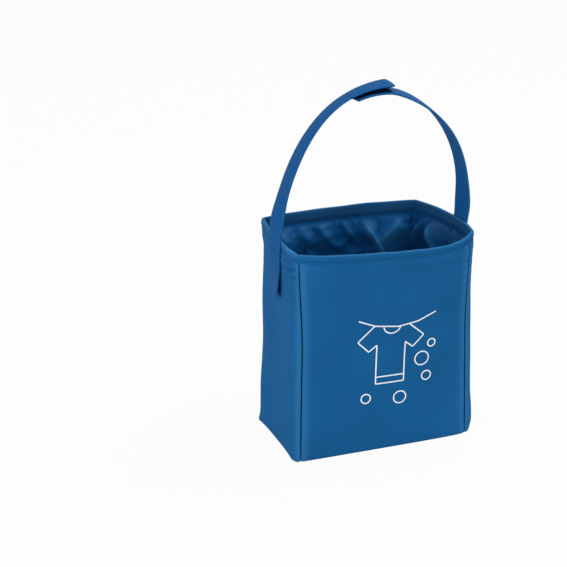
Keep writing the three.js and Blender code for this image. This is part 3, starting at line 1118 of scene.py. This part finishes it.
# Rim band: a strip folded over the top edge, sewn through all layers
rim = {
    "outside": 0.0075,
    "inside": 0.0100,
    "outerFace": 0.0009,       # in front of the shell
    "innerFace": 0.0018,       # behind it
    "thickness": 0.75,         # share of the band's own
    "rowDrops": (0.0012, 0.0028, 0.0045, 0.0053, 0.0067),    # rows of points on both legs
    "lastRows": (0.0078, 0.0094),                            # more of them on the inner leg
    "foldSteps": ((0.0001, 0.0004), (0.0005, 0.0)),          # round the top edge: inset and drop
    "foldTop": -0.0001,
    "turnIn": 0.0004,          # lower edges, towards the cloth
    "weld": 0.00002,
    "perSide": (64, 44, 64, 44),
    "stitchDrop": 0.0060,
    "stitchSink": 0.0011,
    "sinkWidth": 0.0006,
    "threadSunk": 0.6,         # share of the sink that the outer thread follows
    "threadProud": 0.00005,
    "innerThread": 0.00015,    # how far the inner thread lies in the band
    "puff": 0.00025,
    "puffWidth": 0.0022,
    "puffPitch": 0.011,
    "puffShares": (0.6, 0.4),  # steady, and changing along the rim
    "wave": 0.0006,
    "waves": ((3, 1, 1), (7, 0.6, 0), (13, 0.4, 2)),         # count round the mouth, size and phase
    "edgeWear": (0.6, 0.0008),                               # amount and reach
    # Painted highlight on the crushed ridge near the front left corner: amount and reach
    "crushedHighlight": (0.8, 0.0030),
    "crushedHighlightAt": 0.016,        # painted highlight on a ridge on the left side, from the front left corner
    "crushedHighlightReach": 0.012,
}


# Inset and drop of the points across the band, from its outer edge to its inner one
def rimSection():
    out, inn, low = -rim["outerFace"], rim["innerFace"], rim["outside"]
    drops = sorted((*rim["rowDrops"], rim["stitchDrop"]))
    section = [(out + rim["turnIn"], low), (out, low - rim["turnIn"])]
    section += [(out, drop) for drop in drops[::-1]]
    section += [(out + inset, drop) for inset, drop in rim["foldSteps"]]
    section.append((mix(out, inn, 0.5), rim["foldTop"]))
    section += [(inn - inset, drop) for inset, drop in rim["foldSteps"][::-1]]
    section += [(inn, drop) for drop in (*drops, *rim["lastRows"])]
    return section + [(inn - rim["turnIn"], rim["inside"])]


def rimFace(drop):
    points, out = mouthRing(np.atleast_1d(bag["height"] - drop), rim["perSide"])
    run = runOf(points[0])
    turn = run / run[-1] * math.tau
    rise = sum(size * np.sin(count * turn + phase) for count, size, phase in rim["waves"])
    points[..., 2] += rim["wave"] * rise / 2
    return points[0], out[0], run


def makeRim():
    rows, wearAndHighlight = [], []
    middle = mix(-rim["outerFace"], rim["innerFace"], 0.5)
    steady, changing = rim["puffShares"]
    for inset, drop in rimSection():
        points, out, run = rimFace(drop)
        side = -1 if inset > middle else 1
        sink = rim["stitchSink"] * hump(drop, rim["stitchDrop"], rim["sinkWidth"]) if side > 0 else 0
        uneven = steady + changing * np.sin(run * math.tau / rim["puffPitch"])
        puff = rim["puff"] * hump(drop, rim["stitchDrop"] / 2, rim["puffWidth"]) * uneven
        rows.append(points + out * (side * (puff - sink) - inset)[:, None])
        # Painted highlight on the rows near the top edge close to the front left corner, added to the real
        # rubbed top edge
        crushedLit = hump(run[-1] - run, rim["crushedHighlightAt"], rim["crushedHighlightReach"])
        wearsAndHighlights = (rim["edgeWear"], rim["crushedHighlight"])
        edge, ridgeHighlight = [amount * hump(drop, 0, reach) for amount, reach in wearsAndHighlights]
        wearAndHighlight.append(edge + ridgeHighlight * crushedLit)
    points = np.array(rows)
    band = layCloth("rimBand", points[::-1, ::-1], np.array(wearAndHighlight)[::-1, ::-1])
    inner = np.arange(len(points))[::-1] > len(points) // 2
    setAttribute(band, "turned", np.repeat(inner, points.shape[1]))
    weld(band, rim["weld"])
    thicken(band, bag["band"] * rim["thickness"])
    dress(band, cloths["shellCloth"], "bag", ["rim_band"])
    band.data.materials.append(cloths["facingCloth"])
    turned = np.empty(len(band.data.vertices), np.float32)
    band.data.attributes["turned"].data.foreach_get("value", turned)
    faces = [int(turned[list(face.vertices)].mean() > 0.5) for face in band.data.polygons]
    band.data.polygons.foreach_set("material_index", np.array(faces, np.int32))


makeRim()
print("rim band folded")

# Stitches: one is shaped once, then copied along a row
stitch = {
    "length": 0.0030,
    "pitch": 0.0036,
    "width": 0.00062,
    "height": 0.00050,
    "droop": 0.00022,          # its ends dip into the cloth
    "lookAhead": 0.0005,
}
threadWear = 0.25


def stitchShape():
    freshStart()
    bpy.ops.mesh.primitive_uv_sphere_add(segments=8, ring_count=5, radius=0.5)
    points, faces = takeShape(bpy.context.object, scale=(stitch["length"], stitch["width"], stitch["height"]))
    points[:, 2] -= stitch["droop"] * (2 * points[:, 0] / stitch["length"]) ** 2
    return points, faces


stitchForm = stitchShape()


def copyAlong(name, shape, places):
    points, faces = shape
    made, joined = [], []
    for n, (origin, way, up) in enumerate(places):
        side = np.cross(up, way)
        made.append(origin + points[:, :1] * way + points[:, 1:2] * side + points[:, 2:] * up)
        joined.extend([[index + n * len(points) for index in face] for face in faces])
    mesh = bpy.data.meshes.new(name)
    mesh.from_pydata(np.concatenate(made).tolist(), [], joined)
    mesh.uv_layers.new(name="cloth")
    piece = bpy.data.objects.new(name, mesh)
    bpy.context.scene.collection.objects.link(piece)
    setAttribute(piece, "wearAndHighlight", np.full(len(mesh.vertices), threadWear))
    editAll(piece, lambda: bpy.ops.uv.cube_project(cube_size=1.0))
    bpy.ops.object.shade_smooth()
    return piece


def stitchesAlong(points, ups):
    run = runOf(points)
    count = max(2, int(run[-1] / stitch["pitch"]))
    middles = (np.arange(count) + 0.5) * run[-1] / count
    way = wayAt(middles, run, points, stitch["lookAhead"])
    up = squareTo(way, unit(atRun(middles, run, ups)))
    return list(zip(atRun(middles, run, points), way, up))


def sew(name, rows, body):
    places = [place for points, ups in rows for place in stitchesAlong(points, ups)]
    dress(copyAlong(name, stitchForm, places), cloths["sewingThread"], body)


def sewRim():
    points, out, _ = rimFace(rim["stitchDrop"])
    proud = rim["threadProud"] - rim["threadSunk"] * rim["stitchSink"]
    outer = (points + out * (rim["outerFace"] + proud), out)
    inner = (points - out * (rim["innerFace"] - rim["innerThread"]), -out)
    sew("rimStitches", [outer, inner], "bag")


sewRim()
print("rim sewn")

# Handle: two straps along one line over the mouth
strap = {
    "width": 0.025,
    "thickness": 0.0016,
    "bevel": 0.00045,
    "bevelAngle": 60,
    "cup": 0.0004,
    "columns": 10,
    "edgeWear": 0.4,
    "edgeFrom": 0.86,          # share of the half width
    "tailLength": 0.050,
    "tailHeights": (0.140, 0.1415, 0.144, 0.148, 0.153, 0.158, 0.163, 0.168, 0.172, 0.1765, 0.180,
                    0.183, 0.1865),
    "sewnTo": 0.018,           # below the rim; the tail hangs loose under it
    "tailLift": 0.0042,
    "tailCurl": (1.2, 1.6),    # powers of the lift, downwards and towards the front
    "bandFrom": 0.180,         # the tail steps out over the rim band
    "leftY": -0.003,
    "rightY": -0.013,
    "foldRise": 0.001,
    "foldGap": 0.0003,
    "bend": (-0.0025, 0.0050),  # heights from the rim between which a strap bends
    "tape": 0.0012,
    "tapeWidth": 0.021,
    "tapeInset": 0.0015,
    "crownX": 0.0168,
    "crownRise": 0.1213,
    "crownReach": (0.070, 0.0115),
    "lean": (9, 6.7),
    "reach": (0.032, 0.1017),
    "rolls": ((0.04, 0.05, -7), (0.38, 0.17, 7.2), (0.59, 0.12, -7.1), (0.95, 0.05, 6)),
    "rollFrom": 0.03,          # rolls are given as place, spread and turn, and spare the ends
    "archFrom": 0.006,
    "archRows": (46, 56, 22),  # left strap, right strap and tab
    "lookAhead": 0.001,
    "tabPastCrown": 0.0032,
    "rightPastCrown": 0.030,
    "tabLead": 0.003,
    "tabLift": 0.0018,         # its free end stands up
    "tabBend": (-0.0005, 0.006),
}
strap["low"] = bag["layerGap"] / 2 + strap["tape"] + bag["layerGap"]
strap["high"] = strap["low"] + strap["thickness"]
strap["overBand"] = 2 * bag["layerGap"] + bag["band"]
strap["middle"] = strap["low"] + strap["thickness"] / 2
foldHeight = bag["height"] + strap["foldRise"]


def besidePanel(k, y, height, clear):
    height = np.asarray(height, float)
    start, end = cornerAt(k, height)[..., 1], cornerAt(k + 1, height)[..., 1]
    return sidePoint(k, (y - start) / (end - start), height, -np.asarray(clear, float) + 0 * height)


def foldLine(k, middle):
    half = strap["width"] / 2
    edges = [besidePanel(k, middle + d, foldHeight, strap["overBand"]) for d in (-half, half)]
    return (edges[0] + edges[1]) / 2, unit(edges[1] - edges[0])


leftFold, leftAcross = foldLine(left, strap["leftY"])
rightFold, rightAcross = foldLine(right, strap["rightY"])


def riseOf(angle):
    return np.array([math.sin(math.radians(angle)), 0, math.cos(math.radians(angle))])


leftRise, rightRise = riseOf(strap["lean"][0]), riseOf(strap["lean"][1])
handleStart = leftFold + np.array([leftRise[2], 0, -leftRise[0]]) * strap["low"]
handleEnd = rightFold + np.array([rightRise[2], 0, -rightRise[0]]) * strap["high"]


def onHandle(x, z):
    share = (x - handleStart[0]) / (handleEnd[0] - handleStart[0])
    return np.array([x, mix(handleStart[1], handleEnd[1], share), z])


def besides(point, way, reach):
    return onHandle(point[0] + way[0] * reach, point[2] + way[2] * reach)


crown = onHandle(strap["crownX"], bag["height"] + strap["crownRise"])
crownWay = np.array([1.0, 0.0, 0.0])


def bezier(a, b, c, d, steps=300):
    t = np.linspace(0, 1, steps)[:, None]
    return a * (1 - t) ** 3 + 3 * b * t * (1 - t) ** 2 + 3 * c * t**2 * (1 - t) + d * t**3


leftArch = bezier(handleStart, besides(handleStart, leftRise, strap["reach"][0]),
                  besides(crown, crownWay, -strap["crownReach"][0]), crown)
rightArch = bezier(crown, besides(crown, crownWay, strap["crownReach"][1]),
                   besides(handleEnd, rightRise, strap["reach"][1]), handleEnd)
handleLine = np.concatenate([leftArch, rightArch[1:]])
handleRun = runOf(handleLine)
handleLength = handleRun[-1]
crownAt = handleRun[len(leftArch) - 1]
tabEnd = crownAt + strap["tabPastCrown"]
rightStart = crownAt - strap["rightPastCrown"]
tabFold = rightStart - strap["tabLead"]


# Place, crosswise and outward directions at distances along the handle
def handleFrames(distances):
    distances = np.asarray(distances, float)
    way = wayAt(distances, handleRun, handleLine, strap["lookAhead"])
    share = (distances / handleLength)[:, None]
    across = squareTo(way, leftAcross * (1 - share) + rightAcross * share)
    roll = sum(-math.radians(turn) * hump(share, at, spread) for at, spread, turn in strap["rolls"])
    roll = roll * ease(0, strap["rollFrom"], np.minimum(share, 1 - share))
    across = across * np.cos(roll) + np.cross(way, across) * np.sin(roll)
    return atRun(distances, handleRun, handleLine), across, unit(np.cross(way, across))


def tailClear(heights):
    return mix(bag["layerGap"], strap["overBand"], ease(strap["bandFrom"], foldHeight, heights))


# Share along a side panel, from the place along the bag's depth
def sideShare(k, y):
    share = (y + halfDepth) / bag["depth"]
    return share if k == right else 1 - share


def tailRows(k, middle):
    offsets = np.linspace(-0.5, 0.5, strap["columns"] + 1)
    y = middle + offsets * strap["width"]
    downwards, forwards = strap["tailCurl"]
    curl = strap["tailLift"] * np.clip(0.5 - offsets, 0, 1) ** forwards
    rows = []
    for height in strap["tailHeights"]:
        level = np.full_like(y, height)
        drop = bag["height"] - strap["sewnTo"] - height
        loose = np.clip(drop / (strap["tailLength"] - strap["sewnTo"]), 0, 1)
        lift = softOffset(k, sideShare(k, y), level) + curl * loose**downwards
        rows.append(besidePanel(k, y, level, tailClear(level) + strap["thickness"] / 2 + lift))
    return np.array(rows)


def archRows(distances, lift):
    point, across, out = handleFrames(distances)
    offsets = np.linspace(-0.5, 0.5, strap["columns"] + 1)
    cup = strap["cup"] * (1 - (2 * offsets) ** 2)
    rows = point[:, None] + across[:, None] * (offsets * strap["width"])[None, :, None]
    height = np.broadcast_to(lift, len(distances))[:, None] + (cup - strap["cup"] / 2)[None]
    return rows + out[:, None] * height[..., None]


def tabRise(distances):
    return strap["tabLift"] * np.clip((distances - tabFold) / (tabEnd - tabFold), 0, 1) ** 2


# Frames for what is fixed to the tab, on side 1, or lies under it, on side -1
def sideFrames(distances, side):
    point, across, out = handleFrames(distances)
    return point + out * (tabRise(distances) * (side > 0))[:, None], across, out


def strapWear(rows):
    edges = np.abs(np.linspace(-1, 1, strap["columns"] + 1))
    return strap["edgeWear"] * np.tile(ease(strap["edgeFrom"], 1, edges), (rows, 1))


def makeStrap(name, rows):
    sheet = layCloth(name, rows, strapWear(len(rows)))
    editAll(sheet, lambda: bpy.ops.mesh.normals_make_consistent(inside=False))
    useModifier(sheet, "SUBSURF", levels=1, render_levels=1)
    useModifier(sheet, "SOLIDIFY", thickness=strap["thickness"], offset=0, use_even_offset=True)
    useModifier(sheet, "BEVEL", width=strap["bevel"], segments=2, limit_method="ANGLE",
                angle_limit=math.radians(strap["bevelAngle"]))
    shadeSmooth(sheet)
    dress(sheet, cloths["strapWebbing"])
    return sheet


def makeStraps():
    first, seam = strap["archFrom"], tabFold - strap["foldGap"] / 2
    leftRows, rightRows, tabRows = strap["archRows"]
    steps = np.linspace(first, seam, leftRows)
    rows = np.concatenate([tailRows(left, strap["leftY"]), archRows(steps, strap["middle"])])
    leftStrap = makeStrap("leftStrap", rows)
    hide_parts("left_strap_tail", "left_strap")
    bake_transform(leftStrap)
    steps = np.linspace(handleLength - first, rightStart, rightRows)
    rows = np.concatenate([tailRows(right, strap["rightY"]), archRows(steps, -strap["middle"])])
    rightStrap = makeStrap("rightStrap", rows)
    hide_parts("right_strap_tail", "right_strap")
    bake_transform(rightStrap)
    steps = np.linspace(seam, tabEnd, tabRows)
    tab = makeStrap("closureTab", archRows(steps, strap["middle"] + tabRise(steps)))
    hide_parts("closure_tab")
    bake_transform(tab)


makeStraps()
print("straps laid")

# Hook and loop tapes of the closure
tape = {
    "fromEnd": 0.0004,
    "backing": 0.0005,
    "rows": 16,
    "columns": 9,
    "wearAndHighlight": 0.2,
    "hookPitch": 0.0019,
    "loopPitch": 0.0014,
    "margins": (0.0012, 0.0008),    # bare edges around the pile
    "hookHeight": 0.0007,
    "hookRing": 0.5,           # radii and root as shares of the height
    "hookWire": 0.16,
    "hookRoot": 0.45,
}


def hookShape():
    freshStart()
    height = tape["hookHeight"]
    bpy.ops.mesh.primitive_torus_add(major_segments=8, minor_segments=4,
                                     major_radius=height * tape["hookRing"],
                                     minor_radius=height * tape["hookWire"])
    points, faces = takeShape(bpy.context.object, turn=(math.pi / 2, 0, 0))
    points[:, 2] += height * tape["hookRoot"]
    return points, faces


def makeTape(name, node, body, side, pitch, turned):
    start, end = rightStart + strap["tapeInset"], tabEnd - tape["fromEnd"]
    near, far = tape["margins"]
    half = strap["tapeWidth"] / 2
    backing = side * (bag["layerGap"] / 2 + strap["tape"] - tape["backing"] / 2)
    point, across, out = sideFrames(np.linspace(start, end, tape["rows"]), side)
    offsets = np.linspace(-0.5, 0.5, tape["columns"]) * strap["tapeWidth"]
    rows = point[:, None] + across[:, None] * offsets[None, :, None] + out[:, None] * backing
    sheet = layCloth(name, rows, np.full(rows.shape[:2], tape["wearAndHighlight"]))
    thicken(sheet, tape["backing"], offset=0)
    places = []
    frames = zip(*sideFrames(np.arange(start + near, end - far, pitch), side))
    for n, (point, across, out) in enumerate(frames):
        up = -side * out
        way = unit(np.cross(across, up) if turned else across)
        root = point + out * (backing - side * tape["backing"] / 2)
        for offset in np.arange(near - half, half - far, pitch):
            aside = min(offset + 0.5 * pitch * (n % 2), half - far)
            places.append((root + across * aside, way, up))
    pile = copyAlong(name + "Pile", hookShape(), places)
    pick(sheet, pile)
    bpy.ops.object.join()
    dress(sheet, cloths["hookLoopTape"], body, [node])


makeTape("hookTape", "hook_tape", "closure_tab", 1, tape["hookPitch"], True)
makeTape("loopTape", "loop_tape", "right_strap", -1, tape["loopPitch"], False)
print("tapes made")

# Sewing on the straps
sewing = {
    "fromEdge": 0.0025,
    "tailRows": (0.0085, 0.0160),
    "tailPoints": 14,
    "tapeEdge": 0.0016,
    "boxFrom": 0.003,          # from the ends that overlap
    "boxPoints": (24, 12),
}


def archPath(distances, offsets, lift):
    point, across, out = sideFrames(distances, lift)
    return point + across * offsets[:, None] + out * lift, out * np.sign(lift)


def boxRows(start, end, half, lift):
    lengthwise, crosswise = sewing["boxPoints"]
    along, across = np.linspace(start, end, lengthwise), np.linspace(-half, half, crosswise)
    rows = [archPath(along, np.full_like(along, side * half), lift) for side in (-1, 1)]
    return rows + [archPath(np.full_like(across, at), across, lift) for at in (start, end)]


def tailStitchRows(k, middle):
    half = strap["width"] / 2 - sewing["fromEdge"]
    y = np.linspace(middle - half, middle + half, sewing["tailPoints"])
    rows = []
    for drop in sewing["tailRows"]:
        height = np.full_like(y, bag["height"] - drop)
        points = besidePanel(k, y, height, tailClear(height) + strap["thickness"])
        out = outwardOf(k, height)
        rows.append((points + out * softOffset(k, sideShare(k, y), height)[:, None], out))
    return rows


def sewStraps():
    half = strap["tapeWidth"] / 2 - sewing["tapeEdge"]
    start, end = rightStart + sewing["boxFrom"], tabEnd - sewing["boxFrom"]
    top = strap["high"] + strap["cup"] / 4
    sew("tabStitches", boxRows(start, end, half, top), "closure_tab")
    sew("rightEndStitches", boxRows(start, end, half, -top + strap["cup"] / 2), "right_strap")
    sew("leftTailStitches", tailStitchRows(left, strap["leftY"]), "bag")
    sew("rightTailStitches", tailStitchRows(right, strap["rightY"]), "bag")


sewStraps()
print("straps sewn")

# Print on the front: washing on a line, drawn in thin white strokes
ink = {
    "centre": (0.0085, 0.0850),
    "scale": 0.072,
    "stroke": 0.0011,
    "proud": 0.00022,
    "thickness": 0.0001,
    "pointGap": 0.0009,
    "leastPoints": 8,
}


def arc(cx, cy, radius, start, end, steps=24):
    angles = np.radians(np.linspace(start, end, steps))
    return [(cx + radius * math.cos(a), cy + radius * math.sin(a)) for a in angles]


inkStrokes = [
    [(-0.50, 0.58), (-0.30, 0.50), (0.0, 0.46), (0.26, 0.49), (0.50, 0.57)],
    [(-0.30, 0.50), (-0.50, 0.30), (-0.36, 0.16), (-0.26, 0.24), (-0.26, -0.28), (0.10, -0.28), (0.10, 0.24),
     (0.20, 0.16), (0.34, 0.30), (0.14, 0.475)],
    arc(-0.08, 0.49, 0.11, 190, 350),
    [(-0.26, -0.19), (0.10, -0.19)],
    arc(0.33, -0.02, 0.09, 0, 360),
    arc(0.45, 0.17, 0.05, 0, 360),
    arc(0.40, -0.26, 0.06, 0, 360),
    arc(-0.38, -0.46, 0.06, 0, 360),
    arc(0.06, -0.50, 0.08, 0, 360),
]


def frontPlace(x, height):
    start, end = cornerAt(front, height)[..., 0], cornerAt(front + 1, height)[..., 0]
    share = (x - start) / (end - start)
    points = sidePoint(front, share, height, np.zeros_like(height))
    return points + outwardOf(front, height) * (softOffset(front, share, height) + ink["proud"])[..., None]


def makePrint():
    strokes = []
    spread = np.linspace(-0.5, 0.5, 3) * ink["stroke"]
    for number, stroke in enumerate(inkStrokes):
        line = np.array(stroke) * ink["scale"] + np.array(ink["centre"])
        run = runOf(line)
        count = max(ink["leastPoints"], int(run[-1] / ink["pointGap"]))
        path = atRun(np.linspace(0, run[-1], count), run, line)
        way = unit(np.gradient(path, axis=0))
        side = np.stack([-way[:, 1], way[:, 0]], -1)
        grid = path[:, None] + side[:, None] * spread[None, :, None]
        strokes.append(layCloth(f"stroke{number}", frontPlace(grid[..., 0], grid[..., 1])))
    pick(*strokes)
    bpy.ops.object.join()
    drawing = bpy.context.object
    drawing.name = "frontPrint"
    useModifier(drawing, "SOLIDIFY", thickness=ink["thickness"], offset=0)
    dress(drawing, cloths["whiteInk"], "bag")


makePrint()
print("print laid on the front")
